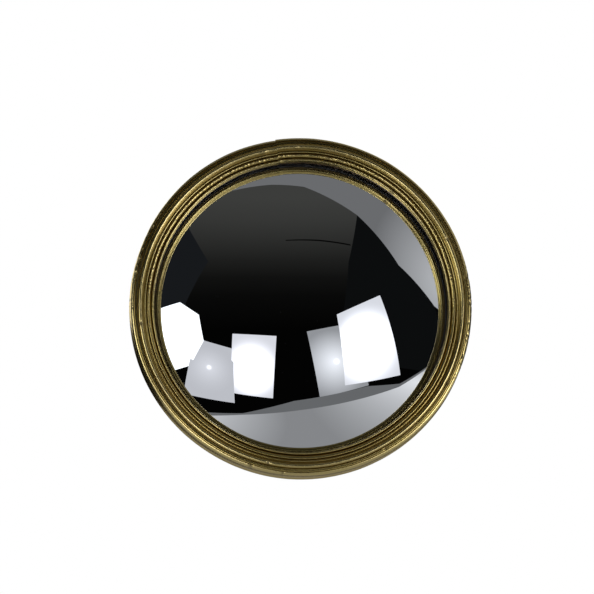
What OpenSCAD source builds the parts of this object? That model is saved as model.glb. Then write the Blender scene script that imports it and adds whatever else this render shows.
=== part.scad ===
// Convex wall mirror: a gilt moulded hoop frame round a domed glass, with its back and hanger.
// The mirror faces -Y, up is +Z, and the wall is the plane y = 0.
// Each piece is drawn lying on its back, with z as the distance from the wall, and then stood up.

/* [Frame] */
// Outer radius of the hoop, where it meets the wall
frame_r = 150; // [150:0.5:153]
// Depth of the hoop, from the wall to its crest
frame_d = 27; // [26.5:0.5:32]
// Radius of the opening that shows the glass
sight_r = 128; // [127.6:0.1:128.2]
// Depth of the step that holds the fittings clear of the wall
step_d = 5; // [4.8:0.1:5.2]
// Inner radius of the rim that touches the wall
rim_r = 142.5; // [142:0.1:143]
// Bearing of the hoop's butt joint, anticlockwise from the top as seen from the front
splice_angle = 9; // [8.5:0.5:20]

/* [Glass] */
// Radius of the glass blank
glass_r = 131; // [130.6:0.1:131.2]
// Radius of the dome's front surface
dome_r = 272; // [265:1:280]
// Thickness of the glass
glass_t = 3; // [2.5:0.1:3.2]
// Thickness of the silvering with its paint
silver_t = 0.3; // [0.2:0.05:0.4]

/* [Back] */
// Thickness of the backing board
board_t = 3; // [2.5:0.1:3.2]
// Thickness of the packing ring between the board and the glass
packing_t = 2.4; // [1.8:0.1:2.8]
// Number of turn buttons
buttons = 6; // [6:1:6]
// Length of a turn button from its pivot to the centre of its tip
button_reach = 10; // [8:0.5:10]
// Half the width of a turn button
button_w = 3.5; // [3:0.1:3.6]
// Thickness of a turn button
button_t = 1.5; // [1:0.1:1.6]

/* [Hanger] */
// Half the length of the hanger plate
plate_l = 16.5; // [15.5:0.5:16.5]
// Thickness of the hanger plate
plate_t = 1.2; // [1:0.1:1.3]
// Radius of the ring's wire
wire_r = 1; // [0.8:0.05:1.05]
// Half the width of the ring between the centres of its legs
ring_w = 7.5; // [7:0.1:7.8]
// Straight length of the ring's legs
ring_leg = 3.8; // [3:0.1:4]

/* [Hidden] */
$fn = 96;
ring_fn = 240;
dome_fn = 300;
cut = 1;                        // how far a cutter runs past what it cuts

gilt = [0.62, 0.52, 0.22];
brass = [0.78, 0.62, 0.30];
steel = [0.62, 0.63, 0.65];

// Depths from the wall, front to back of the glazing
board_front = step_d + board_t;
glass_back = board_front + packing_t;                               // back of the glass's edge
inner_dome_r = dome_r - glass_t;
dome_centre = glass_back - sqrt(inner_dome_r * inner_dome_r - glass_r * glass_r);
apex = dome_centre + dome_r;                                        // crown of the dome
function dome_d(r) = dome_centre + sqrt(dome_r * dome_r - r * r);   // front of the glass at radius r
bed_t = 0.5;
lip_back = dome_d(sight_r) + bed_t;                                 // seat behind the frame's lip
rebate_r = glass_r + 1.2;

// Turn buttons
pivot_r = rebate_r + 5.3;
button_gap = 0.1;               // play under and over a button
button_step = 360 / buttons;
button_first = button_step / 2;
screw_r = 1.4;
screw_head_r = 2.8;
screw_head_t = 1.7;
screw_l = 12;
pivot_play = 0.05;

// Hanger
plate_low = rebate_r + 1;
plate_high = 141;
plate_screw_x = 12.5;
plate_screw_z = (plate_low + plate_high) / 2;
plate_screw_r = 1.5;
plate_screw_l = 10;
plate_top = step_d - plate_t;
eye_d = plate_top - wire_r - 0.3;          // depth of the ring's axis
eye_z = plate_low - 2.2;                   // height of the ring's axis
eye_bore = wire_r + 0.06;
eye_r = eye_bore + 1;
eye_w = 4;                                 // half the width of the rolled eye
ring_bend = 2.2;
pocket_w = ring_w + wire_r + 1;
pocket_high = eye_z + ring_bend + ring_leg + ring_w + wire_r + 1.5;

// Butt joint
splice_gap = 0.2;
dowel_r = 2.3;
dowel_l = 30;
dowel_places = [[143.9, 17], [137.6, 17.2]];   // radius and depth of each dowel
fastener_l = 22;
fastener_h = 10;
fastener_t = 0.5;
fastener_wave = 5.5;
fastener_amp = 1.1;
fastener_sink = 0.2;

// Points of an arc in the profile: centre, radius, first and last angle, number of steps
function arc(c, r, a, b, n = 8) = [for (i = [0:n]) let (t = a + (b - a) * i / n) c + r * [cos(t), sin(t)]];

// The hoop's section: radius and depth from the wall, from the rim round the front to the rebate
arris_t = 0.6;                  // ease on the rim's outer edge
bead_r = frame_r - 1.2;         // outer radius of the outer bead
section = concat(
    [[rim_r, 0], [frame_r - arris_t, 0], [frame_r, arris_t], [frame_r, 2.4]],
    [[frame_r - 0.6, 3.2], [frame_r - 1.1, 5], [frame_r - 1.45, 8], [frame_r - 1.5, 14]],   // hollow side
    arc([bead_r - 2.6, frame_d - 4.3], 2.6, 0, 88, 12),             // outer quarter round
    [[bead_r - 2.8, frame_d - 2.5], [bead_r - 3.2, frame_d - 2.1], [bead_r - 5.9, frame_d - 2.1]],   // flat band
    arc([bead_r - 8.2, frame_d - 2], 2, 15, 150, 10),               // crest bead
    [[bead_r - 10.3, frame_d - 2.2], [bead_r - 11.3, frame_d - 2.8]],
    arc([bead_r - 12.4, frame_d - 3.3], 0.95, 50, 165, 5),          // reed
    [[134.9, frame_d - 4], [134.3, frame_d - 2.9], [133.8, frame_d - 2.8], [132.8, frame_d - 3]],
    [[132, frame_d - 3.5], [131.4, frame_d - 4.4], [130.8, frame_d - 5]],
    arc([129.5, frame_d - 4.2], 1, 30, 190),                        // inner bead
    [[128.9, frame_d - 5.8]],
    arc([129, frame_d - 7.5], 0.9, 125, 235, 5),                    // lower bead
    [[128.9, frame_d - 9.1]],
    [[sight_r, lip_back + 0.4], [sight_r + 0.4, lip_back], [rebate_r, lip_back], [rebate_r, step_d],
     [rim_r, step_d]]);

// Stands a piece up: its z becomes the distance in front of the wall
module stand() { rotate([90, 0, 0]) children(); }

// Turns children to a bearing, anticlockwise from the top as seen from the front
module bearing(angle) { rotate([0, 0, angle]) children(); }

// Wood screw lying along z, its head's underside at z = 0 and its point upwards
module wood_screw(r, head_r, head_t, length) {
    difference() {
        union() {
            cylinder(r = r, h = length - 2 * r);
            translate([0, 0, length - 2 * r]) cylinder(r1 = r, r2 = 0.3, h = 2 * r);
            rotate_extrude() intersection() {
                translate([0, head_dome(head_r, head_t) - head_t]) circle(r = head_dome(head_r, head_t));
                translate([0, -head_t]) square([head_r, head_t]);
            }
        }
        translate([-head_r, -0.35, -head_t - cut]) cube([2 * head_r, 0.7, 0.8 + cut]);
    }
}
function head_dome(head_r, head_t) = (head_r * head_r + head_t * head_t) / (2 * head_t);

module frame_moulding() {
    color(gilt) stand() difference() {
        rotate_extrude($fn = ring_fn) polygon(section);
        bearing(splice_angle) translate([-splice_gap / 2, sight_r - 4, -cut])
            cube([splice_gap, frame_r, frame_d + 2 * cut]);
        dowel_solids(2 * cut);
        fastener_solid(cut);
        translate([-pocket_w, rim_r - 2, -cut]) cube([2 * pocket_w, pocket_high - rim_r + 2, step_d + cut]);
        for (i = [1:buttons]) button_place(i) translate([0, 0, step_d - cut])
            cylinder(r = screw_r, h = screw_l - button_t - 2 * button_gap + cut);
        for (side = [-1, 1]) translate([side * plate_screw_x, plate_screw_z, step_d - cut])
            cylinder(r = plate_screw_r, h = plate_screw_l - plate_t + cut);
    }
}

module dowel_solids(extra = 0) {
    bearing(splice_angle) for (p = dowel_places) translate([0, p[0], p[1]]) rotate([0, 90, 0])
        cylinder(r = dowel_r, h = dowel_l + extra, center = true);
}

module splice_dowels() { color("tan") stand() dowel_solids(); }

// Corrugated strip across the butt joint, driven in from the back
module fastener_solid(extra = 0) {
    function wave(x) = fastener_amp * sin(360 * x / fastener_wave);
    xs = [for (i = [0:44]) fastener_l * (i / 44 - 0.5)];
    outline = concat([for (x = xs) [x, wave(x) + fastener_t / 2]],
                     [for (i = [44:-1:0]) [xs[i], wave(xs[i]) - fastener_t / 2]]);
    bearing(splice_angle) translate([0, (rim_r + frame_r) / 2, fastener_sink - extra])
        linear_extrude(fastener_h + extra) polygon(outline);
}

module splice_fastener() { color(steel) stand() fastener_solid(); }

// Bed of glazing compound between the lip and the dome
module glazing_bed() {
    clear = 0.05;
    inner = sight_r + 0.4;
    steps = 6;
    under = [for (i = [0:steps]) let (r = glass_r - (glass_r - inner) * i / steps) [r, dome_d(r) + clear]];
    color("dimgray") stand() rotate_extrude($fn = ring_fn)
        polygon(concat([[inner, lip_back], [glass_r, lip_back]], under));
}

module dome_shell(outer, inner) {
    intersection() {
        translate([0, 0, board_front]) cylinder(r = glass_r, h = apex, $fn = ring_fn);
        difference() {
            translate([0, 0, dome_centre]) sphere(r = outer, $fn = dome_fn);
            translate([0, 0, dome_centre]) sphere(r = inner, $fn = dome_fn);
        }
    }
}

module mirror_glass() { color("silver") stand() dome_shell(dome_r, inner_dome_r); }

module mirror_silvering() { color("slategray") stand() dome_shell(inner_dome_r, inner_dome_r - silver_t); }

module packing_ring() {
    clear = 0.1;
    inner = glass_r - 7;
    top = glass_back - silver_t - clear;
    color("burlywood") stand() difference() {
        translate([0, 0, board_front]) cylinder(r = rebate_r - 0.4, h = top - board_front, $fn = ring_fn);
        translate([0, 0, board_front - cut]) cylinder(r = inner, h = packing_t + 2 * cut, $fn = ring_fn);
    }
}

module backing_board() {
    color("saddlebrown") stand() translate([0, 0, step_d])
        cylinder(r = rebate_r - 0.3, h = board_t, $fn = ring_fn);
}

// Puts children at the pivot of button i, with their y axis pointing outwards
module button_place(i) { bearing(button_first - button_step * i) translate([0, pivot_r, 0]) children(); }

module turn_button(i) {
    color(brass) stand() button_place(i) translate([0, 0, step_d - button_gap - button_t])
        linear_extrude(button_t) difference() {
            union() {
                circle(r = button_w);
                translate([-button_w, -button_reach]) square([2 * button_w, button_reach]);
                translate([0, -button_reach]) circle(r = button_w);
            }
            circle(r = screw_r + pivot_play);
        }
}

module turn_button_screws() {
    color(brass) stand() for (i = [1:buttons]) button_place(i)
        translate([0, 0, step_d - button_t - 2 * button_gap]) rotate([0, 0, 35 * i])
            wood_screw(screw_r, screw_head_r, screw_head_t, screw_l);
}

module hanger_plate() {
    corner = 2;
    high = plate_high - plate_low;
    color(brass) stand() {
        difference() {
            translate([0, 0, plate_top]) linear_extrude(plate_t) difference() {
                union() {
                    translate([-plate_l + corner, plate_low]) square([2 * (plate_l - corner), high]);
                    translate([-plate_l, plate_low + corner]) square([2 * plate_l, high - 2 * corner]);
                    for (x = [-1, 1], z = [plate_low + corner, plate_high - corner])
                        translate([x * (plate_l - corner), z]) circle(r = corner);
                    translate([-eye_w, eye_z]) square([2 * eye_w, plate_low - eye_z + corner]);
                }
                for (x = [-1, 1]) translate([x * plate_screw_x, plate_screw_z]) circle(r = plate_screw_r + 0.1);
            }
            eye(eye_bore, eye_w + cut);
        }
        difference() {
            eye(eye_r, eye_w);
            eye(eye_bore, eye_w + cut);
        }
    }
}

module eye(r, half) { translate([-half, eye_z, eye_d]) rotate([0, 90, 0]) cylinder(r = r, h = 2 * half); }

module hanger_screws() {
    color(brass) stand() for (side = [-1, 1]) translate([side * plate_screw_x, plate_screw_z, plate_top])
        rotate([0, 0, 20 * side]) wood_screw(plate_screw_r, screw_head_r, screw_head_t, plate_screw_l);
}

// D-shaped ring hanging straight down from the eye
module hanger_ring() {
    leg_low = -ring_bend - ring_leg;
    color(brass) stand() translate([0, eye_z, eye_d]) {
        bar = ring_w - ring_bend;
        translate([-bar, 0, 0]) rotate([0, 90, 0]) cylinder(r = wire_r, h = 2 * bar);
        for (side = [0, 1]) mirror([side, 0, 0]) {
            translate([bar, -ring_bend, 0]) rotate_extrude(angle = 90) translate([ring_bend, 0]) circle(r = wire_r);
            translate([ring_w, leg_low, 0]) rotate([-90, 0, 0]) cylinder(r = wire_r, h = ring_leg);
        }
        translate([0, leg_low, 0]) rotate([0, 0, 180]) rotate_extrude(angle = 180)
            translate([ring_w, 0]) circle(r = wire_r);
    }
}

frame_moulding();
splice_dowels();
splice_fastener();
glazing_bed();
mirror_glass();
mirror_silvering();
packing_ring();
backing_board();
turn_button(1);  // turn_button_1
turn_button(2);  // turn_button_2
turn_button(3);  // turn_button_3
turn_button(4);  // turn_button_4
turn_button(5);  // turn_button_5
turn_button(6);  // turn_button_6
turn_button_screws();
hanger_plate();
hanger_ring();
hanger_screws();
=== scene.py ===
"""Looks of a gilt convex wall mirror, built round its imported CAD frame.

The mirror faces -Y, +Z is up and the wall is the plane y = 0. Every piece is in metres, in the frame's own
coordinates. Lengths written in millimetres are turned to metres by MM.
"""

import math

import bmesh
import bpy
import numpy as np
from mathutils import Matrix, Vector, noise

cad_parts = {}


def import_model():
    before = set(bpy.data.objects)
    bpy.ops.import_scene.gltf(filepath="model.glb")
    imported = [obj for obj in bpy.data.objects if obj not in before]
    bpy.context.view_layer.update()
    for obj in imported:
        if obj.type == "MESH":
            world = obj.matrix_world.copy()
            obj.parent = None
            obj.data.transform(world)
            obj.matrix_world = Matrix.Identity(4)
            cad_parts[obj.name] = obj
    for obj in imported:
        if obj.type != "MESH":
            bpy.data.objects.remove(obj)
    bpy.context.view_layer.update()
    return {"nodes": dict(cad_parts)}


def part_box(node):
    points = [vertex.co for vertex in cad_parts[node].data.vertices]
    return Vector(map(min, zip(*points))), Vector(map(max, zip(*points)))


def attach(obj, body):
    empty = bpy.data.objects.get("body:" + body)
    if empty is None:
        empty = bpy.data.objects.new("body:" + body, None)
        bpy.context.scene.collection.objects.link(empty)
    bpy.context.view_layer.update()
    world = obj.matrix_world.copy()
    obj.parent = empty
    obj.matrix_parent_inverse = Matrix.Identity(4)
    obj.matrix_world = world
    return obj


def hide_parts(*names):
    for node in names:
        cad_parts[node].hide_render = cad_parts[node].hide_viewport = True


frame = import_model()

MM = 0.001
TAU = 2 * math.pi

# Driving sizes, in millimetres, from the frame
HOOP_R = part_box("frame_moulding")[1].x / MM
HOOP_D = -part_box("frame_moulding")[0].y / MM
GLASS_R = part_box("mirror_glass")[1].x / MM
APEX = -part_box("mirror_glass")[0].y / MM
GLASS_BACK = -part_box("mirror_glass")[1].y / MM
BOARD_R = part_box("backing_board")[1].x / MM
BOARD_FRONT = -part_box("backing_board")[0].y / MM
STEP_D = -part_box("backing_board")[1].y / MM
BEAD_R = HOOP_R - 1.2
DOME_R = 272
GLASS_T = 3
SIGHT_R = 128.0
LIP_BACK = 16.3
REBATE_R = 132.2
RIM_R = 142.5
PIVOT_R = 137.5
NOTCH_HALF = 9.5
NOTCH_TOP = 147.0
SPLICE = math.radians(-9)


# ---------------------------------------------------------------------------------------------------------
# Mesh helpers
# ---------------------------------------------------------------------------------------------------------

def mesh_object(name, points, faces, smooth_angle=35):
    """A mesh object from points in metres, with outward normals and creases sharper than smooth_angle."""
    mesh = bpy.data.meshes.new(name)
    mesh.from_pydata([tuple(p) for p in points], [], faces)
    mesh.update()
    bm = bmesh.new()
    bm.from_mesh(mesh)
    bmesh.ops.recalc_face_normals(bm, faces=bm.faces)
    bm.to_mesh(mesh)
    bm.free()
    mesh.shade_smooth()
    mesh.set_sharp_from_angle(angle=math.radians(smooth_angle))
    piece = bpy.data.objects.new(name, mesh)
    bpy.context.scene.collection.objects.link(piece)
    return piece


def place(radius, bearing, depth):
    """A point in metres from radius, bearing clockwise from the top and distance from the wall."""
    return (radius * math.sin(bearing) * MM, -depth * MM, radius * math.cos(bearing) * MM)


def arc(centre, radius, first, last, count):
    """Points along an arc in the section plane, angles in degrees."""
    angles = [math.radians(first + (last - first) * i / (count - 1)) for i in range(count)]
    return [(centre[0] + radius * math.cos(a), centre[1] + radius * math.sin(a)) for a in angles]


def line(a, b, count):
    """Points from a to b, both ends included."""
    return [(a[0] + (b[0] - a[0]) * i / (count - 1), a[1] + (b[1] - a[1]) * i / (count - 1))
            for i in range(count)]


def lathe(name, section, turns=256, smooth_angle=35):
    """A solid of revolution about the Y axis from a closed section of (radius, depth) points."""
    count = len(section)
    points = [place(r, TAU * j / turns, d) for j in range(turns) for r, d in section]
    faces = []
    for j in range(turns):
        k = (j + 1) % turns
        for i in range(count):
            n = (i + 1) % count
            faces.append((j * count + i, j * count + n, k * count + n, k * count + i))
    piece = mesh_object(name, points, faces, smooth_angle)
    weld(piece)
    return piece


def weld(piece, distance=1e-7):
    """Joins points that coincide and drops the faces that this closes up."""
    bm = bmesh.new()
    bm.from_mesh(piece.data)
    bmesh.ops.remove_doubles(bm, verts=bm.verts, dist=distance)
    bmesh.ops.dissolve_degenerate(bm, edges=bm.edges, dist=distance)
    bm.to_mesh(piece.data)
    bm.free()


def loft(name, loops, smooth_angle=35, closed=False):
    """A solid through loops of equal length: capped at both ends, or closed into a ring."""
    count = len(loops[0])
    points = [p for loop in loops for p in loop]
    faces = []
    spans = len(loops) if closed else len(loops) - 1
    for j in range(spans):
        k = (j + 1) % len(loops)
        for i in range(count):
            n = (i + 1) % count
            faces.append((j * count + i, j * count + n, k * count + n, k * count + i))
    if not closed:
        faces.append(tuple(range(count)))
        faces.append(tuple(range((len(loops) - 1) * count, len(loops) * count)))
    return mesh_object(name, points, faces, smooth_angle)


def carve(piece, size, centre, turn=0.0):
    """Cuts a box out of a piece: size and centre in millimetres, turned about the Y axis."""
    bpy.ops.mesh.primitive_cube_add(size=1)
    cutter = bpy.context.object
    cutter.scale = tuple(side * MM for side in size)
    cutter.location = tuple(place * MM for place in centre)
    cutter.rotation_euler = (0, turn, 0)
    bpy.context.view_layer.update()
    cut = piece.modifiers.new("cut", "BOOLEAN")
    cut.object = cutter
    cut.operation = "DIFFERENCE"
    cut.solver = "EXACT"
    carved = bpy.data.meshes.new_from_object(piece.evaluated_get(bpy.context.evaluated_depsgraph_get()))
    piece.modifiers.clear()
    piece.data = carved
    bpy.data.objects.remove(cutter)


def smoothstep(low, high, value):
    t = np.clip((value - low) / (high - low), 0, 1)
    return t * t * (3 - 2 * t)


def point_attribute(piece, name, values):
    attribute = piece.data.attributes.new(name, "FLOAT", "POINT")
    attribute.data.foreach_set("value", np.asarray(values, np.float32))


# ---------------------------------------------------------------------------------------------------------
# Material helpers
# ---------------------------------------------------------------------------------------------------------

class Paint:
    """A node material with short calls for the nodes that these finishes use."""

    def __init__(self, name, **sockets):
        self.material = bpy.data.materials.new(name)
        self.material.use_nodes = True
        self.tree = self.material.node_tree
        self.shader = self.tree.nodes["Principled BSDF"]
        for label, value in sockets.items():
            self.shader.inputs[label.replace("_", " ")].default_value = value

    def node(self, kind, **settings):
        made = self.tree.nodes.new(kind)
        for label, value in settings.items():
            setattr(made, label, value)
        return made

    def feed(self, socket, value):
        """Links a socket to an output, or sets its value."""
        if isinstance(value, bpy.types.NodeSocket):
            self.tree.links.new(value, socket)
        else:
            socket.default_value = value

    def coordinate(self, output="Object", stretch=(1, 1, 1)):
        source = self.node("ShaderNodeTexCoord")
        mapping = self.node("ShaderNodeMapping")
        mapping.inputs["Scale"].default_value = stretch
        self.tree.links.new(source.outputs[output], mapping.inputs["Vector"])
        return mapping.outputs["Vector"]

    def attribute(self, name):
        return self.node("ShaderNodeAttribute", attribute_name=name).outputs["Fac"]

    def noise(self, vector, size, detail=4, roughness=0.55):
        """Noise whose features are about size millimetres across."""
        made = self.node("ShaderNodeTexNoise")
        self.feed(made.inputs["Vector"], vector)
        made.inputs["Scale"].default_value = 1 / (size * MM)
        made.inputs["Detail"].default_value = detail
        made.inputs["Roughness"].default_value = roughness
        return made.outputs["Fac"]

    def cells(self, vector, size):
        """Distance to the nearest of scattered points about size millimetres apart."""
        made = self.node("ShaderNodeTexVoronoi")
        self.feed(made.inputs["Vector"], vector)
        made.inputs["Scale"].default_value = 1 / (size * MM)
        return made.outputs["Distance"]

    def range(self, value, low, high, to_low=0.0, to_high=1.0):
        made = self.node("ShaderNodeMapRange")
        made.interpolation_type = "SMOOTHSTEP"
        self.feed(made.inputs["Value"], value)
        made.inputs["From Min"].default_value = low
        made.inputs["From Max"].default_value = high
        made.inputs["To Min"].default_value = to_low
        made.inputs["To Max"].default_value = to_high
        return made.outputs["Result"]

    def math(self, operation, a, b=0.0):
        made = self.node("ShaderNodeMath", operation=operation)
        self.feed(made.inputs[0], a)
        self.feed(made.inputs[1], b)
        return made.outputs[0]

    def ramp(self, value, stops):
        """A colour ramp of (position, colour) stops."""
        made = self.node("ShaderNodeValToRGB")
        elements = made.color_ramp.elements
        elements[0].position = stops[0][0]
        elements[0].color = (*stops[0][1], 1)
        elements[1].position = stops[-1][0]
        elements[1].color = (*stops[-1][1], 1)
        for position, colour in stops[1:-1]:
            elements.new(position).color = (*colour, 1)
        self.feed(made.inputs["Fac"], value)
        return made.outputs["Color"]

    def mix(self, factor, a, b, blend="MIX"):
        made = self.node("ShaderNodeMix", data_type="RGBA", blend_type=blend)
        self.feed(made.inputs["Factor"], factor)
        for socket, value in ((made.inputs[6], a), (made.inputs[7], b)):
            self.feed(socket, (*value, 1) if isinstance(value, tuple) else value)
        return made.outputs[2]

    def bump(self, height, distance, strength=1.0, normal=None):
        """A bump whose full height is distance millimetres."""
        made = self.node("ShaderNodeBump")
        made.inputs["Strength"].default_value = strength
        made.inputs["Distance"].default_value = distance * MM
        self.feed(made.inputs["Height"], height)
        if normal is not None:
            self.feed(made.inputs["Normal"], normal)
        return made.outputs["Normal"]

    def set(self, **sockets):
        for label, value in sockets.items():
            self.feed(self.shader.inputs[label.replace("_", " ")], value)


# ---------------------------------------------------------------------------------------------------------
# Materials
# ---------------------------------------------------------------------------------------------------------

def gilt_wood():
    """Gilding over a dark ground: painted shade from how open each point is darkens the grooves, on top of
    their dark ground and dirt; the ground shows through in knocks and as painted shade in the gap down to the
    glass; bare wood at the back.
    """
    p = Paint("gilt_wood", Specular_IOR_Level=0.5)
    here = p.coordinate()
    along = p.coordinate("UV")
    streaks = p.coordinate("UV", (0.03, 1, 1))
    painted_shade_open = p.attribute("open")
    worn_and_gap_shade = p.attribute("worn_and_gap_shade")
    bare = p.attribute("bare")

    brush = p.noise(streaks, 0.9, 3)
    cloud = p.noise(here, 14, 3)
    grain = p.noise(here, 0.8, 5, 0.6)
    # This light value is painted shade: the open share of each point plus real brush and grain tone, so the
    # gold ramp below runs from near black in the grooves to bright gold on open rounds.
    light = p.math("ADD", painted_shade_open, p.math("MULTIPLY", p.math("SUBTRACT", brush, 0.5), 0.10))
    light = p.math("ADD", light, p.math("MULTIPLY", p.math("SUBTRACT", grain, 0.5), 0.07))
    gold = p.ramp(light, [(0.0, (0.030, 0.012, 0.002)), (0.32, (0.085, 0.044, 0.006)),
                          (0.54, (0.31, 0.205, 0.045)), (0.76, (0.63, 0.475, 0.16)),
                          (1.0, (0.87, 0.70, 0.31))])
    olive = p.mix(p.range(cloud, 0.38, 0.66, 0, 0.35), gold, (0.95, 1.0, 0.78), "MULTIPLY")
    ground = p.ramp(grain, [(0.3, (0.010, 0.005, 0.002)), (0.7, (0.055, 0.024, 0.008))])
    # This mask shows the dark ground: real wear in knocks and pits, and painted shade in the gap down to the
    # glass.
    gilding = p.mix(worn_and_gap_shade, olive, ground)

    rings = p.noise(p.coordinate("UV", (0.02, 1.2, 1)), 1.1, 4, 0.65)
    fibre = p.noise(p.coordinate("UV", (0.06, 1, 1)), 0.25, 3)
    wood = p.ramp(rings, [(0.3, (0.20, 0.115, 0.055)), (0.5, (0.33, 0.20, 0.10)), (0.7, (0.42, 0.275, 0.15))])
    wood = p.mix(p.range(fibre, 0.45, 0.75, 0, 0.55), wood, (0.16, 0.09, 0.04))
    fray = p.math("SUBTRACT", p.noise(along, 3.5, 5, 0.7), 0.5)
    ragged = p.math("ADD", bare, p.math("MULTIPLY", fray, 0.9))
    is_bare = p.range(ragged, 0.42, 0.56)

    coated = p.math("SUBTRACT", 1.0, is_bare)
    # Less metal where the open share is low is part of the same painted shade; the wear-and-gap mask takes
    # metal off for real wear and for the painted shade in the gap.
    metal = p.math("MULTIPLY", p.range(light, 0.1, 0.42, 0.35, 1.0), p.math("SUBTRACT", 1.0, worn_and_gap_shade))
    rough = p.math("ADD", p.range(light, 0.3, 0.75, 0.42, 0.24), p.range(brush, 0.3, 0.7, -0.02, 0.03))
    fine = p.math("ADD", p.math("MULTIPLY", grain, 0.7), p.math("MULTIPLY", brush, 0.5))
    relief = p.math("ADD", fine, p.math("MULTIPLY", fibre, is_bare))
    p.set(Base_Color=p.mix(is_bare, gilding, wood), Metallic=p.math("MULTIPLY", metal, coated),
          Roughness=p.math("MAXIMUM", rough, p.math("MULTIPLY", is_bare, 0.72)),
          Normal=p.bump(relief, 0.02, 0.35))
    return p.material


def mirror_glass():
    """Silvered glass: a clean reflection with a little dust and a faint haze in its gloss."""
    p = Paint("mirror_glass", Metallic=1.0, Coat_Weight=1.0, Coat_Roughness=0.0, Coat_IOR=1.5)
    here = p.coordinate()
    dust = p.range(p.cells(here, 9), 0.03, 0.0, 0, 1)
    haze = p.range(p.noise(here, 40, 4), 0.35, 0.75, 0.0, 0.010)
    p.set(Base_Color=p.mix(dust, (0.90, 0.92, 0.93), (0.55, 0.56, 0.58)),
          Roughness=p.math("ADD", haze, p.math("MULTIPLY", dust, 0.3)))
    return p.material


def silvering():
    p = Paint("silvering", Roughness=0.55)
    streak = p.noise(p.coordinate(), 6, 5, 0.7)
    p.set(Base_Color=p.ramp(streak, [(0.3, (0.10, 0.105, 0.11)), (0.7, (0.16, 0.165, 0.17))]))
    return p.material


def glazing():
    p = Paint("glazing", Roughness=0.8)
    lumps = p.noise(p.coordinate(), 2.5, 5, 0.6)
    p.set(Base_Color=p.ramp(lumps, [(0.3, (0.035, 0.032, 0.03)), (0.7, (0.09, 0.085, 0.08))]),
          Normal=p.bump(lumps, 0.2))
    return p.material


def pressboard():
    p = Paint("pressboard", Roughness=0.85)
    fibre = p.noise(p.coordinate(), 1.2, 6, 0.7)
    p.set(Base_Color=p.ramp(fibre, [(0.3, (0.25, 0.21, 0.16)), (0.7, (0.40, 0.35, 0.27))]),
          Normal=p.bump(fibre, 0.1))
    return p.material


def hardboard():
    """Smooth brown hardboard: matted fibres, darker flecks, stains and a few scratches."""
    p = Paint("hardboard", Specular_IOR_Level=0.35)
    here = p.coordinate()
    matted = p.noise(here, 0.7, 6, 0.75)
    flecks = p.range(p.noise(p.coordinate("Object", (1, 1, 0.35)), 1.1, 3), 0.60, 0.72)
    cloud = p.noise(here, 45, 4, 0.6)
    board = p.ramp(matted, [(0.25, (0.105, 0.055, 0.026)), (0.5, (0.165, 0.092, 0.045)),
                            (0.75, (0.235, 0.140, 0.075))])
    board = p.mix(p.range(cloud, 0.35, 0.7, 0, 0.45), board, (0.62, 0.60, 0.58), "MULTIPLY")
    board = p.mix(p.math("MULTIPLY", flecks, 0.6), board, (0.07, 0.035, 0.016))
    scratch = p.noise(p.coordinate("Object", (0.03, 1, 1)), 1.5, 2)
    scored = p.range(scratch, 0.715, 0.735, 0, 0.5)
    p.set(Base_Color=p.mix(scored, board, (0.33, 0.22, 0.13)), Roughness=p.range(cloud, 0.3, 0.7, 0.48, 0.68),
          Normal=p.bump(p.math("SUBTRACT", matted, scored), 0.08, 0.6))
    return p.material


def aged_brass(name, tarnish):
    """Brass with a clouded tarnish and fine handling scratches."""
    p = Paint(name, Metallic=1.0)
    here = p.coordinate()
    cloud = p.noise(here, 5, 5, 0.65)
    speck = p.noise(here, 0.7, 4)
    clean = p.mix(p.range(speck, 0.4, 0.7, 0, 0.5), (0.60, 0.42, 0.17), (0.70, 0.54, 0.27))
    dull = p.mix(p.range(speck, 0.4, 0.65), (0.17, 0.10, 0.045), (0.30, 0.20, 0.09))
    marks = p.noise(p.coordinate("Object", (1, 1, 0.08)), 0.3, 2)
    p.set(Base_Color=p.mix(p.range(cloud, 0.62 - tarnish, 0.72), clean, dull),
          Roughness=p.math("ADD", p.range(cloud, 0.3, 0.7, 0.20, 0.40), p.range(marks, 0.3, 0.8, 0, 0.12)),
          Normal=p.bump(p.math("ADD", marks, p.math("MULTIPLY", speck, 0.6)), 0.012, 0.6))
    return p.material


def bright_steel():
    p = Paint("steel", Metallic=1.0)
    here = p.coordinate()
    rust = p.range(p.noise(here, 2.2, 5, 0.7), 0.52, 0.68)
    p.set(Base_Color=p.mix(rust, (0.55, 0.56, 0.58), (0.16, 0.07, 0.03)),
          Roughness=p.range(rust, 0, 1, 0.32, 0.8), Normal=p.bump(p.noise(here, 0.6, 4), 0.02))
    return p.material


def dowel_wood():
    p = Paint("dowel_wood", Roughness=0.7)
    fibre = p.noise(p.coordinate("Object", (0.1, 1, 1)), 0.6, 4)
    p.set(Base_Color=p.ramp(fibre, [(0.3, (0.42, 0.28, 0.15)), (0.7, (0.58, 0.42, 0.25))]),
          Normal=p.bump(fibre, 0.05))
    return p.material


FINISHES = {
    "gilt_wood": gilt_wood(), "mirror_glass": mirror_glass(), "silvering": silvering(), "glazing": glazing(),
    "pressboard": pressboard(), "hardboard": hardboard(), "brass": aged_brass("brass", 0.16),
    "brass_screws": aged_brass("brass_screws", 0.10), "steel": bright_steel(), "dowel_wood": dowel_wood(),
}


def finish_piece(piece, body, slot, *nodes):
    """Gives a piece its finish, its body and the CAD nodes that it stands for."""
    piece.data.materials.clear()
    piece.data.materials.append(FINISHES[slot])
    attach(piece, body)
    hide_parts(*nodes)


def finish_node(node, slot):
    """Gives a CAD node that stays a finish of its own."""
    piece = frame["nodes"][node]
    piece.data.materials.clear()
    piece.data.materials.append(FINISHES[slot])


# ---------------------------------------------------------------------------------------------------------
# The gilt hoop
# ---------------------------------------------------------------------------------------------------------

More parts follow.
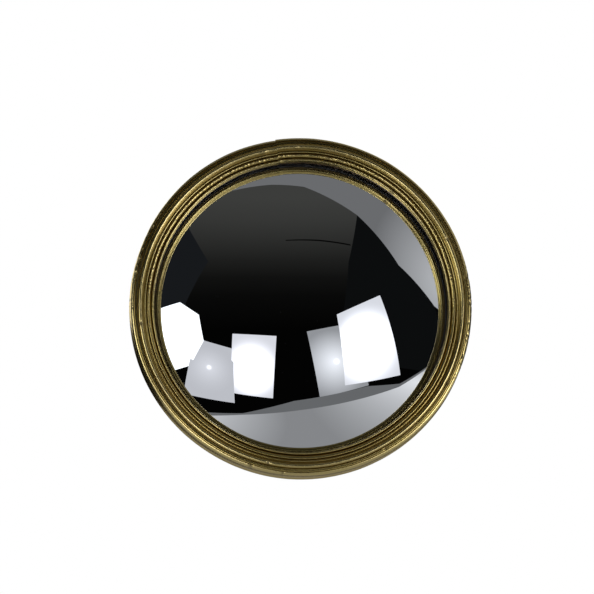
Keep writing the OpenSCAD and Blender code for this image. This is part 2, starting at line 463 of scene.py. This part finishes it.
def hoop_section():
    """The hoop's section as (strip name, points) from the rim on the wall round the front to the rebate."""
    r, b, d = HOOP_R, BEAD_R, HOOP_D
    return [
        ("rim", [(RIM_R + 0.3, 0.0), (RIM_R + 2.5, 0.0), (r - 3, 0.0), (r - 0.7, 0.0)]),
        ("side", [(r - 0.15, 0.2), (r, 0.7), (r, 2.3), (r - 0.6, 3.2), (r - 1.1, 5), (r - 1.45, 8),
                  (r - 1.5, 14), (r - 1.5, d - 6)]),
        ("outer_bead", arc((b - 2.6, d - 4.3), 2.6, 0, 88, 13)),
        ("quirk", [(b - 2.8, d - 2.5)]),
        ("band", [(b - 3.2, d - 2.1), (b - 3.9, d - 2.12), (b - 4.6, d - 2.15), (b - 5.3, d - 2.12),
                  (b - 5.85, d - 2.1)]),
        ("quirk", [(b - 6.15, d - 2.3)]),
        ("crest", arc((b - 8.2, d - 2), 2, 20, 150, 12)),
        ("quirk", [(b - 10.3, d - 2.2)]),
        ("reed", [(b - 10.8, d - 2.45), (b - 11.4, d - 2.9)]),
        ("reed", arc((b - 12.4, d - 3.3), 0.95, 50, 165, 7)),
        ("quirk", [(134.9, d - 4)]),
        ("arris", [(134.3, d - 2.9), (133.8, d - 2.8), (133.3, d - 2.85), (132.8, d - 3), (132, d - 3.5),
                   (131.4, d - 4.4)]),
        ("quirk", [(130.8, d - 5)]),
        ("inner_bead", arc((129.5, d - 4.2), 1, 30, 190, 9)),
        ("quirk", [(128.9, d - 5.8)]),
        ("flank", arc((129, d - 7.5), 0.9, 125, 235, 7)),
        ("gap", [(128.9, d - 9.1), (128.6, LIP_BACK + 1.2)]),
        ("gap", [(SIGHT_R, LIP_BACK + 0.4), (SIGHT_R + 0.2, LIP_BACK)]),
        ("rebate", [(REBATE_R - 0.3, LIP_BACK), (REBATE_R, LIP_BACK - 0.3), (REBATE_R, STEP_D + 0.3)]),
        ("step", [(REBATE_R + 0.3, STEP_D), (RIM_R - 5, STEP_D), (RIM_R - 0.3, STEP_D)]),
        ("rim", [(RIM_R, STEP_D - 0.3), (RIM_R, 0.3)]),
    ]


def section_normals(section):
    ahead = np.roll(section, -1, axis=0) - section
    behind = section - np.roll(section, 1, axis=0)
    ahead /= np.linalg.norm(ahead, axis=1)[:, None]
    behind /= np.linalg.norm(behind, axis=1)[:, None]
    tangent = ahead + behind
    normal = np.stack([tangent[:, 1], -tangent[:, 0]], axis=1)
    return normal / np.linalg.norm(normal, axis=1)[:, None]


def open_share(section, normals, reach=9.0):
    """For each point of the section, the share of the half plane before it that its neighbours leave open."""
    count = len(section)
    share = np.ones(count)
    for i in range(count):
        to = section - section[i]
        far = np.hypot(to[:, 0], to[:, 1])
        near = (far > 1e-6) & (far < reach)
        across = normals[i][0] * to[:, 1] - normals[i][1] * to[:, 0]
        height = to @ normals[i]
        lean = np.degrees(np.arctan2(height, np.abs(across)))
        left = max([0.0, *lean[near & (across > 0)]])
        right = max([0.0, *lean[near & (across < 0)]])
        share[i] = (180 - left - right) / 180
    return np.clip(share, 0, 1)


def wobble(values, scale, seed):
    """Smooth noise along a circle, sampled at the bearings in values."""
    return np.array([noise.noise(Vector((scale * math.sin(a), scale * math.cos(a), seed))) for a in values])


def bearings_of_hoop(count=1040, joint_gap=0.05):
    """Bearings once round from one side of the butt joint to the other, closer together near the joint."""
    half_gap = joint_gap / HOOP_R
    close = [half_gap + math.radians(0.12) * i for i in range(6)]
    first, last = SPLICE + close[-1], SPLICE + TAU - close[-1]
    middle = [first + (last - first) * i / count for i in range(1, count)]
    return np.array([SPLICE + c for c in close] + middle + [SPLICE + TAU - c for c in reversed(close)])


def joint_step(bearing):
    """How far the hoop's end on the left of the joint has crept inwards, dying out round the hoop."""
    before = SPLICE + TAU - bearing
    return 0.75 * np.exp(-before / math.radians(22))


# Knocks: bearing in degrees, radius and size in mm, and depth in mm (negative stands proud)
KNOCKS = [(65, 140.6, 1.6, 0.35), (80, 147.5, 1.8, 0.5), (192, 141.1, 1.6, 0.4),
          (263, 140.7, 1.5, 0.35), (38, 129.3, 1.4, 0.3), (118, 143.5, 1.6, 0.4),
          (150, 144.5, 1.3, 0.3), (285, 147.6, 2.0, 0.45), (186.5, 147.3, 1.2, 0.4),
          (197.5, 147.4, 1.4, 0.45), (346.3, 139.8, 2.4, -0.4), (358.2, 139.8, 1.5, -0.3),
          (351.5, 130, 1.5, -0.3), (17, 138.9, 1.2, -0.25)]


def hoop():
    strips = hoop_section()
    names = [name for name, points in strips for _ in points]
    section = np.array([p for _, points in strips for p in points])
    normals = section_normals(section)
    share = open_share(section, normals)
    bearings = bearings_of_hoop()
    degrees = np.degrees(bearings) % 360
    rows, columns = len(bearings), len(section)

    front = np.array([name not in ("rim", "rebate", "step") for name in names], float)
    on_arris = np.array([{"arris": 1.0, "inner_bead": 0.25, "reed": 0.2}.get(name, 0.0) for name in names])
    on_outer = np.array([{"outer_bead": 1.0, "side": 0.5}.get(name, 0.0) for name in names])
    along = bearings * HOOP_R
    across = np.concatenate([[0], np.cumsum(np.linalg.norm(np.diff(section, axis=0), axis=1))])

    upper = smoothstep(-0.35, 0.75, np.cos(bearings))
    pitted = (smoothstep(262, 274, degrees) * (1 - smoothstep(296, 312, degrees))
              + smoothstep(70, 82, degrees) * (1 - smoothstep(108, 122, degrees)))
    creep = 0.12 + 0.2 * wobble(bearings, 1.6, 3.0) + 0.14 * wobble(bearings, 5.0, 7.0) + joint_step(bearings)

    radius = np.zeros((rows, columns))
    depth = np.zeros((rows, columns))
    # The gap strips, from the inner flank down to the glass, start at 0.9: painted shade, the dark ground put
    # where the gap lies in shade. Pits and knocks below add real wear.
    worn_and_gap_shade = np.tile(np.array([0.9 if name == "gap" else 0.0 for name in names]), (rows, 1))
    for i in range(columns):
        lift = np.zeros(rows)
        if front[i]:
            for j in range(rows):
                here = Vector((along[j], across[i] * 1.4, 0))
                lift[j] = 0.035 * noise.noise(here * 0.22)
                if on_arris[i]:
                    ripple = noise.noise(Vector((along[j] * 0.62, across[i] * 0.25, 11)))
                    lift[j] += on_arris[i] * (0.10 + 0.30 * upper[j]) * ripple
                if on_outer[i] and pitted[j] > 0:
                    pit = noise.noise(Vector((along[j] * 0.45, across[i] * 0.55, 23)))
                    hollow = on_outer[i] * pitted[j] * float(smoothstep(0.12, 0.42, pit))
                    lift[j] -= 0.4 * hollow
                    worn_and_gap_shade[j, i] = 0.8 * hollow
        radius[:, i] = section[i, 0] + normals[i, 0] * lift - creep * front[i]
        depth[:, i] = section[i, 1] + normals[i, 1] * lift
    for at, ring, size, dent in KNOCKS:
        turn = (degrees - at + 180) % 360 - 180
        aside = np.radians(turn)[:, None] * ring
        gone = np.exp(-((aside / size) ** 2 + ((section[None, :, 0] - ring) / size) ** 2))
        gone *= front[None, :] * (section[None, :, 1] > HOOP_D - 7)
        radius -= dent * gone * normals[None, :, 0]
        depth -= dent * gone * normals[None, :, 1]
        if dent > 0:
            worn_and_gap_shade = np.maximum(worn_and_gap_shade, 0.75 * gone)
    radius = np.minimum(radius, HOOP_R)
    depth = np.clip(depth, 0, APEX)

    loops = [[place(radius[j, i], bearings[j], depth[j, i]) for i in range(columns)] for j in range(rows)]
    piece = loft("gilt_hoop", loops, smooth_angle=62)

    backing = np.array([{"rim": 1.0, "rebate": 1.0, "step": 1.0}.get(name, 0.0) for name in names])
    backing = np.maximum(backing, np.array([0.62 - 0.2 * d if name == "side" else 0.0
                                            for name, d in zip(names, section[:, 1])]))
    # open: how open each point of the section is; the gilding paints shade from it in the grooves and
    # lightens the open rounds.
    point_attribute(piece, "open", np.tile(share, rows))
    point_attribute(piece, "worn_and_gap_shade", worn_and_gap_shade.reshape(-1))
    point_attribute(piece, "bare", np.tile(backing, rows))
    strip_coordinates(piece, along, across, rows, columns)
    cut_notch(piece)
    finish_piece(piece, "frame", "gilt_wood", "frame_moulding")


def cut_notch(piece):
    """Cuts the notch in the rim behind the top, where the ring lies when it is folded up."""
    foot = RIM_R - 2
    carve(piece, (2 * NOTCH_HALF, 2 * STEP_D, NOTCH_TOP - foot), (0, 0, (NOTCH_TOP + foot) / 2))


def strip_coordinates(piece, along, across, rows, columns):
    """A UV map in metres: u runs along the moulding and v across it."""
    layer = piece.data.uv_layers.new(name="strip")
    corner = np.zeros(len(piece.data.loops), np.int32)
    piece.data.loops.foreach_get("vertex_index", corner)
    row, column = corner // columns, corner % columns
    spread = np.stack([along[row], across[column]], axis=1) * MM
    layer.data.foreach_set("uv", spread.astype(np.float32).reshape(-1))


# ---------------------------------------------------------------------------------------------------------
# Glass and what holds it
# ---------------------------------------------------------------------------------------------------------

def dome():
    """The silvered convex glass, its edge ground round, sitting a little askew in its rebate."""
    centre = APEX - DOME_R
    inner = DOME_R - GLASS_T
    rings = 90
    edge_front = centre + math.sqrt(DOME_R ** 2 - GLASS_R ** 2)
    front = [(GLASS_R * math.sin(math.pi / 2 * i / rings), 0) for i in range(rings)]
    front = [(r, centre + math.sqrt(DOME_R ** 2 - r ** 2)) for r, _ in front if r < GLASS_R - 0.6]
    back = [(GLASS_R * i / 24, 0) for i in range(24, -1, -1)]
    back = [(r, centre + math.sqrt(inner ** 2 - r ** 2)) for r, _ in back if r < GLASS_R - 0.4]
    edge = [(GLASS_R - 0.15, edge_front - 0.15), (GLASS_R, edge_front - 0.6), (GLASS_R, GLASS_BACK + 0.3)]
    piece = lathe("mirror_dome", front + edge + back, turns=384, smooth_angle=40)
    nod, yaw, set_back = math.radians(-0.97), math.radians(0.34), Vector((0, 0.6 * MM, 0))
    askew = Matrix.Rotation(nod, 4, "X") @ Matrix.Rotation(yaw, 4, "Z")
    seat = Vector((0, -12 * MM, 0))
    piece.data.transform(Matrix.Translation(seat + set_back) @ askew @ Matrix.Translation(-seat))
    finish_piece(piece, "frame", "mirror_glass", "mirror_glass")


def backing_board():
    """A hardboard disc with its sawn edge eased."""
    ease = 0.35
    section = [(0, STEP_D), (0, BOARD_FRONT), (BOARD_R - ease, BOARD_FRONT), (BOARD_R, BOARD_FRONT - ease),
               (BOARD_R, STEP_D + ease), (BOARD_R - ease, STEP_D), (BOARD_R * 0.66, STEP_D),
               (BOARD_R * 0.33, STEP_D)]
    piece = lathe("hardboard_back", section, turns=256, smooth_angle=50)
    finish_piece(piece, "frame", "hardboard", "backing_board")


# ---------------------------------------------------------------------------------------------------------
# Fittings on the back
# ---------------------------------------------------------------------------------------------------------

def eased_levels(low, high, ease):
    """(inset, depth) pairs for a plate with rounded edges, from its low face to its high face."""
    quarter = [math.radians(90 * i / 4) for i in range(5)]
    lower = [(ease * (1 - math.sin(a)), low + ease * (1 - math.cos(a))) for a in quarter]
    upper = [(ease * (1 - math.cos(a)), high - ease * (1 - math.sin(a))) for a in quarter]
    return lower + upper


def turn_button(number):
    """A stamped brass turn button: rounded ends, eased edges and a bored pivot."""
    node = f"turn_button_{number}"
    low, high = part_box(node)
    near_wall, far = -high.y / MM, -low.y / MM
    bearing = math.radians(60 * number - 30)
    pivot, reach, half, bore, points = PIVOT_R, 10, 3.5, 1.45, 72

    def outline(inset):
        loop = []
        for i in range(points):
            a = TAU * i / points
            x, y = (half - inset) * math.cos(a), (half - inset) * math.sin(a)
            loop.append((x, y if y >= 0 else y - reach))
        return loop

    def hole(inset):
        radius = bore + inset
        turns = [TAU * i / points for i in range(points)]
        return [(radius * math.cos(a), radius * math.sin(a)) for a in turns]

    def stand(loop, depth):
        across = Vector((math.cos(bearing), 0, -math.sin(bearing)))
        outwards = Vector((math.sin(bearing), 0, math.cos(bearing)))
        level = Vector((0, depth * MM, 0))
        return [tuple((across * x + outwards * (pivot + y)) * MM - level) for x, y in loop]

    levels = eased_levels(near_wall, far, 0.3)
    loops = [stand(outline(inset), depth) for inset, depth in levels]
    loops += [stand(hole(inset * 0.4), depth) for inset, depth in reversed(levels)]
    piece = loft(f"brass_button_{number}", loops, smooth_angle=40, closed=True)
    finish_piece(piece, f"button_{number}", "brass", node)


def wood_screw(name, spot, head_depth, shank, length, turn):
    """A slotted round-head screw driven along -Y at spot (x, z), its head standing towards the wall."""
    head_r, head_t = 2.8, 1.7
    dome_radius = (head_r ** 2 + head_t ** 2) / (2 * head_t)
    crown = [(dome_radius * math.sin(a), head_depth - head_t + dome_radius * (1 - math.cos(a)))
             for a in [math.asin(head_r / dome_radius) * i / 10 for i in range(11)]]
    tip = head_depth + length
    section = crown + [(head_r - 0.1, head_depth), (shank, head_depth), (shank, tip - 2 * shank), (0, tip)]
    piece = lathe(name, section, turns=48, smooth_angle=40)
    carve(piece, (2.4 * head_r, 1.8, 0.7), (0, -(head_depth - head_t - 0.1), 0), turn)
    piece.data.transform(Matrix.Translation((spot[0] * MM, 0, spot[1] * MM)))
    piece.data.set_sharp_from_angle(angle=math.radians(40))
    return piece


def joined(name, pieces):
    """One object from several, in order."""
    bm = bmesh.new()
    for piece in pieces:
        bm.from_mesh(piece.data)
    mesh = bpy.data.meshes.new(name)
    bm.to_mesh(mesh)
    bm.free()
    for piece in pieces:
        bpy.data.objects.remove(piece)
    made = bpy.data.objects.new(name, mesh)
    bpy.context.scene.collection.objects.link(made)
    return made


def button_screws():
    head_depth = -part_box("turn_button_1")[1].y / MM - 0.1
    screws = []
    for number in range(1, 7):
        bearing = math.radians(60 * number - 30)
        spot = (PIVOT_R * math.sin(bearing), PIVOT_R * math.cos(bearing))
        screws.append(wood_screw(f"screw_{number}", spot, head_depth, 1.4, 12, 0.61 * number))
    piece = joined("button_screws", screws)
    finish_piece(piece, "frame", "brass_screws", "turn_button_screws")


def hanger_screws():
    plate_back = STEP_D - 1.2
    screws = [wood_screw(f"hanger_screw_{side}", (side * 12.5, 137.1), plate_back, 1.5, 10, 0.35 * side)
              for side in (-1, 1)]
    piece = joined("plate_screws", screws)
    finish_piece(piece, "frame", "brass_screws", "hanger_screws")


def hanger_plate():
    """The brass hanger plate: a rounded plate whose tongue is rolled round the ring's bar."""
    low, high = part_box("hanger_plate")
    half = high.x / MM
    top = 141.0
    foot = 133.2
    back, front = 3.8, 5.0
    corner = 2.0
    mid = (top + foot) / 2

    def outline(inset):
        loop = []
        for cx, cy, start in ((half - corner, top - corner, 0), (corner - half, top - corner, 90),
                              (corner - half, foot + corner, 180), (half - corner, foot + corner, 270)):
            for i in range(8):
                a = math.radians(start + 90 * i / 7)
                loop.append((cx + (corner - inset) * math.cos(a), cy + (corner - inset) * math.sin(a)))
        return loop

    levels = eased_levels(back, front, 0.25)
    loops = [[(x * MM, -depth * MM, z * MM) for x, z in outline(inset)] for inset, depth in levels]
    plate = loft("plate", loops, smooth_angle=40)

    eye_z, eye_d, bore, wall = 131.0, 2.5, 1.06, 1.0
    turns = [math.radians(80 - 330 * i / 30) for i in range(31)]
    outer = [((bore + wall) * math.cos(a), (bore + wall) * math.sin(a)) for a in turns]
    inner = [(bore * math.cos(a), bore * math.sin(a)) for a in turns]
    strip = [(eye_z + z, eye_d + d) for z, d in outer] + [(eye_z + z, eye_d + d) for z, d in reversed(inner)]
    rolls = []
    for x, shrink in ((-4.0, 0.12), (-3.88, 0.0), (-1.4, 0.0), (1.4, 0.0), (3.88, 0.0), (4.0, 0.12)):
        loop = []
        for index, (z, d) in enumerate(strip):
            reach = math.hypot(z - eye_z, d - eye_d)
            grow = -shrink if index < len(outer) else shrink
            factor = (reach + grow) / reach
            depth, height = eye_d + (d - eye_d) * factor, eye_z + (z - eye_z) * factor
            loop.append((x * MM, -depth * MM, height * MM))
        rolls.append(loop)
    eye = loft("eye", rolls, smooth_angle=40)
    tongue_levels = eased_levels(back, front - 0.02, 0.2)
    tongue = [[(x * MM, -depth * MM, z * MM) for x, z in
               ((inset - 4, 131.6), (4 - inset, 131.6), (4 - inset, mid), (inset - 4, mid))]
              for inset, depth in tongue_levels]
    neck = loft("neck", tongue, smooth_angle=40)
    piece = joined("brass_hanger_plate", [plate, eye, neck])
    finish_piece(piece, "frame", "brass", "hanger_plate")


def hanger_ring():
    """The D-shaped wire ring, one closed sweep of round wire."""
    eye_z, eye_d, wire = 131.0, 2.5, 1.0
    half, bend, leg = 7.5, 2.2, 3.8
    path = [(x, 0) for x in np.linspace(-(half - bend), half - bend, 12)]
    path += [(half - bend + bend * math.sin(a), -bend + bend * math.cos(a))
             for a in [math.radians(90 * i / 8) for i in range(1, 9)]]
    path += [(half, -bend - leg * i / 4) for i in range(1, 5)]
    path += [(half * math.cos(a), -bend - leg - half * math.sin(a))
             for a in [math.radians(180 * i / 32) for i in range(1, 33)]]
    path += [(-half, -bend - leg + leg * i / 4) for i in range(1, 5)]
    path += [(-half + bend * (1 - math.cos(a)), -bend + bend * math.sin(a))
             for a in [math.radians(90 * i / 8) for i in range(1, 8)]]
    loops = []
    count = len(path)
    for i, (x, z) in enumerate(path):
        before, after = Vector(path[i - 1]), Vector(path[(i + 1) % count])
        tangent = (after - before).normalized()
        side = Vector((tangent.y, -tangent.x))
        loop = []
        for k in range(20):
            a = TAU * k / 20
            reach = side * (wire * math.cos(a))
            loop.append(((x + reach.x) * MM, -(eye_d + wire * math.sin(a)) * MM, (eye_z + z + reach.y) * MM))
        loops.append(loop)
    piece = loft("brass_ring", loops, closed=True)
    finish_piece(piece, "ring", "brass", "hanger_ring")


# ---------------------------------------------------------------------------------------------------------
# Stage: camera, softboxes, cards, floor and world
# ---------------------------------------------------------------------------------------------------------

VIEW_AZIMUTH = math.radians(-3.6)
VIEW_ELEVATION = math.radians(-8.9)
VIEW_DISTANCE = 2.4
VIEW_LENS = 166
VIEW_RIGHT = -0.0031
VIEW_UP = 0.0100


def heading(azimuth, elevation):
    """The unit vector towards an azimuth (from -Y towards +X) and an elevation, in radians."""
    return Vector((math.sin(azimuth) * math.cos(elevation), -math.cos(azimuth) * math.cos(elevation),
                   math.sin(elevation)))


def camera():
    back = heading(VIEW_AZIMUTH, VIEW_ELEVATION)
    turn = back.to_track_quat("Z", "Y")
    right = turn @ Vector((1, 0, 0))
    up = turn @ Vector((0, 1, 0))
    outline = Vector((0, -5.7 * MM, 0))
    target = outline + right * VIEW_RIGHT + up * VIEW_UP
    data = bpy.data.cameras.new("camera")
    data.lens = VIEW_LENS
    data.sensor_width = 36
    made = bpy.data.objects.new("camera", data)
    bpy.context.scene.collection.objects.link(made)
    made.matrix_world = Matrix.Translation(target + back * VIEW_DISTANCE) @ turn.to_matrix().to_4x4()
    bpy.context.scene.camera = made


def glow(name, colour, strength, *spots):
    """An emitting card finish. A spot is (centre, radius in metres, added strength, falloff power)."""
    made = bpy.data.materials.new(name)
    made.use_nodes = True
    tree = made.node_tree
    tree.nodes.clear()
    out = tree.nodes.new("ShaderNodeOutputMaterial")
    light = tree.nodes.new("ShaderNodeEmission")
    light.inputs["Color"].default_value = (*colour, 1)
    light.inputs["Strength"].default_value = strength
    tree.links.new(light.outputs[0], out.inputs["Surface"])
    total = None
    for centre, radius, added, power in spots:
        where = tree.nodes.new("ShaderNodeTexCoord")
        shift = tree.nodes.new("ShaderNodeMapping")
        shift.inputs["Location"].default_value = tuple(-c / radius for c in centre)
        shift.inputs["Scale"].default_value = (1 / radius,) * 3
        tree.links.new(where.outputs["Object"], shift.inputs["Vector"])
        ball = tree.nodes.new("ShaderNodeTexGradient")
        ball.gradient_type = "SPHERICAL"
        tree.links.new(shift.outputs[0], ball.inputs["Vector"])
        fall = tree.nodes.new("ShaderNodeMath")
        fall.operation = "POWER"
        tree.links.new(ball.outputs["Fac"], fall.inputs[0])
        fall.inputs[1].default_value = power
        rise = tree.nodes.new("ShaderNodeMath")
        rise.operation = "MULTIPLY_ADD"
        tree.links.new(fall.outputs[0], rise.inputs[0])
        rise.inputs[1].default_value = added
        rise.inputs[2].default_value = strength
        if total is not None:
            tree.links.new(total, rise.inputs[2])
        total = rise.outputs[0]
    if total is not None:
        tree.links.new(total, light.inputs["Strength"])
    return made


def card(name, corners, finish):
    """A flat light card, seen by reflections and not by the camera."""
    mesh = bpy.data.meshes.new(name)
    mesh.from_pydata([tuple(c) for c in corners], [], [tuple(range(len(corners)))])
    mesh.update()
    made = bpy.data.objects.new(name, mesh)
    bpy.context.scene.collection.objects.link(made)
    mesh.materials.append(finish)
    made.visible_camera = False
    made.visible_shadow = False
    return made


def softbox(name, azimuth, elevation, distance, roll, finish, outline, turned=(0, 0)):
    """A card round the mirror: turned is how far it faces past the mirror, outline its own x and y."""
    to = heading(math.radians(azimuth), math.radians(elevation))
    face = -heading(math.radians(azimuth + turned[0]), math.radians(elevation + turned[1]))
    x = Vector((0, 0, 1)).cross(face).normalized()
    y = face.cross(x)
    c, s = math.cos(math.radians(roll)), math.sin(math.radians(roll))
    u, v = c * x + s * y, c * y - s * x
    rising = Vector((math.cos(math.radians(azimuth)), math.sin(math.radians(azimuth)), 0))
    if u.dot(rising) < 0:
        u = -u
    made = card(name, [(a, b, 0) for a, b in outline], finish)
    columns = [u, v, u.cross(v)]
    turn = Matrix([[columns[j][i] for j in range(3)] for i in range(3)]).to_4x4()
    made.matrix_world = Matrix.Translation(to * distance) @ turn


def softboxes():
    """An octagon and four oblong boxes round the mirror's front, their angles in whole or half degrees."""
    half_wide, half_high, octagon_r = 0.25, 0.35, 0.38
    box = [(-half_wide, half_high), (half_wide, half_high), (half_wide, -half_high), (-half_wide, -half_high)]
    turns = [math.radians(67.5 - 45 * i) for i in range(8)]
    eight = [(octagon_r * math.cos(a), octagon_r * math.sin(a)) for a in turns]
    softbox("softbox_octagon", -49.5, -2, 1.63, -11,
            glow("octagon_glow", (0.94, 0.97, 1.0), 1.1, ((0, 0, 0), 0.5, 3.0, 1.5)), eight, (18.5, -10.5))
    softbox("softbox_left_small", -34, -15.5, 1.53, 27,
            glow("left_small_glow", (0.92, 0.93, 1.0), 0.60, ((-0.03, 0, 0), 0.3, 0.25, 1.5),
                 ((-0.03, 0, 0), 0.05, 2.0, 3.0)), box, (-20.5, -29))
    softbox("softbox_left_large", -17, -16, 1.59, 3.5,
            glow("left_large_glow", (0.93, 0.93, 1.0), 0.80, ((-0.02, -0.04, 0), 0.42, 7.0, 2.6)), box,
            (17, 12.5))
    softbox("softbox_right_small", 18.5, -12, 1.43, -14,
            glow("right_small_glow", (0.92, 0.94, 1.0), 0.34, ((-0.04, -0.04, 0), 0.36, 0.8, 1.2),
                 ((-0.02, -0.04, 0), 0.05, 2.0, 3.0)), box, (-8.5, -18))
    softbox("softbox_right_large", 30, -4.5, 1.23, -21.5,
            glow("right_large_glow", (0.92, 0.93, 1.0), 0.82, ((-0.03, -0.04, 0), 0.42, 7.0, 2.4)), box,
            (21.5, -12.5))


def table_cards():
    """The pale table top in front of the mirror, with a darker strip along its bent far edge."""
    height, near, left, right = -0.30, 0.6, -0.50, 1.30
    strip_in = [(left, -0.21), (-0.17, -0.32), (0.02, -0.37), (0.56, -0.50), (right, -0.80)]
    strip_out = [(left, -0.25), (-0.17, -0.33), (0, -0.44), (0.38, -0.56), (0.60, -0.54), (right, -0.82)]
    finish = glow("table_glow", (0.95, 0.96, 1.0), 0.27, ((0.75, -0.5, height), 0.7, 0.6, 1.0),
                  ((-0.32, -0.28, height), 0.3, 0.38, 1.0))
    top = strip_in + [(right, near), (left, near)]
    card("table_top", [(x, y, height) for x, y in top], finish)
    strip = strip_in + strip_out[::-1]
    card("table_edge", [(x, y, height) for x, y in strip], glow("edge_glow", (0.94, 0.96, 1.0), 0.15))


# Corners of the ceiling's front edge, by azimuth and elevation in degrees from the mirror
CEILING_EDGE = [(-56, 43), (-38, 55), (-12, 60), (9, 59), (34, 45), (46, 24.5), (59, 10), (70, 3.5)]


def ceiling_card():
    """The pale ceiling and backdrop above and behind: a shell from its front edge back over the mirror."""
    radius = 2.4
    pole = Vector((0.25, 1.0, 0.55)).normalized()
    steps, parts = 8, 3
    corners = [heading(math.radians(azimuth), math.radians(elevation)) for azimuth, elevation in CEILING_EDGE]
    edge = [a.slerp(b, i / parts) for a, b in zip(corners, corners[1:]) for i in range(parts)] + corners[-1:]
    points = [tuple(start.slerp(pole, k / steps) * radius) for start in edge for k in range(steps + 1)]
    faces = []
    for j in range(len(edge) - 1):
        for k in range(steps):
            a = j * (steps + 1) + k
            faces.append((a, a + 1, a + steps + 2, a + steps + 1))
    mesh = bpy.data.meshes.new("ceiling")
    mesh.from_pydata(points, [], faces)
    made = bpy.data.objects.new("ceiling", mesh)
    bpy.context.scene.collection.objects.link(made)
    mesh.materials.append(glow("ceiling_glow", (0.95, 0.96, 1.0), 0.165, ((2.1, -0.9, 0.7), 1.3, 0.40, 1.0)))
    made.visible_camera = False
    made.visible_shadow = False


def dark_screens():
    """Dark screens to the left and right of the camera, seen only in the glass, and a thin rail above it."""
    left = [(-56, 43), (-36, 26), (-46, 3.5), (-78, 3.5), (-78, 34.5)]
    right = [(34, 45), (24, 26), (17, -12), (66, -12), (59, 10), (46, 24.5)]
    rail = [(-3, 35.7), (12, 35.7), (26.5, 33.4), (26.5, 32.8), (12, 35.1), (-3, 35.3)]
    for name, outline, distance, colour, strength in (
            ("left", left, 2.3, (0.85, 0.95, 1.1), 0.011), ("right", right, 2.3, (0.9, 1.0, 1.05), 0.0045),
            ("rail", rail, 1.8, (1.0, 1.0, 1.0), 0.002)):
        corners = [heading(math.radians(a), math.radians(e)) * distance for a, e in outline]
        card(f"{name}_screen", corners, glow(f"{name}_screen_glow", colour, strength))


def back_lights():
    """Two soft cards behind the wall side, for the views of the back."""
    box = [(-0.6, 0.6), (0.6, 0.6), (0.6, -0.6), (-0.6, -0.6)]
    softbox("back_card_left", -140, 22, 1.9, 0, glow("back_left_glow", (1.0, 1.0, 1.0), 1.3), box)
    softbox("back_card_right", 150, 30, 1.9, 0, glow("back_right_glow", (1.0, 1.0, 1.0), 1.0), box)


def world():
    """White where the camera looks past the object; a dark studio for everything that it lights."""
    made = bpy.data.worlds.new("studio")
    bpy.context.scene.world = made
    made.use_nodes = True
    tree = made.node_tree
    tree.nodes.clear()
    out = tree.nodes.new("ShaderNodeOutputWorld")
    mix = tree.nodes.new("ShaderNodeMixShader")
    path = tree.nodes.new("ShaderNodeLightPath")
    dark = tree.nodes.new("ShaderNodeBackground")
    white = tree.nodes.new("ShaderNodeBackground")
    white.inputs["Color"].default_value = (1, 1, 1, 1)
    where = tree.nodes.new("ShaderNodeTexCoord")
    split = tree.nodes.new("ShaderNodeSeparateXYZ")
    ramp = tree.nodes.new("ShaderNodeValToRGB")
    levels = ((0.0, 0.001), (0.22, 0.003), (0.34, 0.006), (0.45, 0.014), (0.56, 0.026), (0.68, 0.040),
              (0.8, 0.050), (1.0, 0.050))
    stops = [(height, (level, level, 0.94 * level)) for height, level in levels]
    elements = ramp.color_ramp.elements
    elements[0].position, elements[0].color = stops[0][0], (*stops[0][1], 1)
    elements[1].position, elements[1].color = stops[-1][0], (*stops[-1][1], 1)
    for position, colour in stops[1:-1]:
        elements.new(position).color = (*colour, 1)
    tree.links.new(where.outputs["Generated"], split.inputs[0])
    tree.links.new(split.outputs["Z"], ramp.inputs["Fac"])
    tree.links.new(ramp.outputs["Color"], dark.inputs["Color"])
    tree.links.new(path.outputs["Is Camera Ray"], mix.inputs[0])
    tree.links.new(dark.outputs[0], mix.inputs[1])
    tree.links.new(white.outputs[0], mix.inputs[2])
    tree.links.new(mix.outputs[0], out.inputs["Surface"])


def floor():
    """A wide pale floor, below the main view."""
    p = Paint("floor", Base_Color=(0.86, 0.86, 0.86, 1), Roughness=0.9, Emission_Color=(1, 1, 1, 1),
              Emission_Strength=0.55)
    size, level = 6, -0.46
    corners = [(-size, -size, level), (size, -size, level), (size, size, level), (-size, size, level)]
    made = card("floor", corners, p.material)
    made.visible_camera = True
    made.visible_shadow = True
    made.visible_glossy = False
    made.visible_diffuse = False


camera()
hoop()
dome()
backing_board()
for number in range(1, 7):
    turn_button(number)
button_screws()
hanger_plate()
hanger_ring()
hanger_screws()
for node, slot in (("splice_dowels", "dowel_wood"), ("splice_fastener", "steel"), ("glazing_bed", "glazing"),
                   ("mirror_silvering", "silvering"), ("packing_ring", "pressboard")):
    finish_node(node, slot)
softboxes()
table_cards()
ceiling_card()
dark_screens()
back_lights()
world()
floor()
bpy.context.scene.view_settings.view_transform = "Standard"
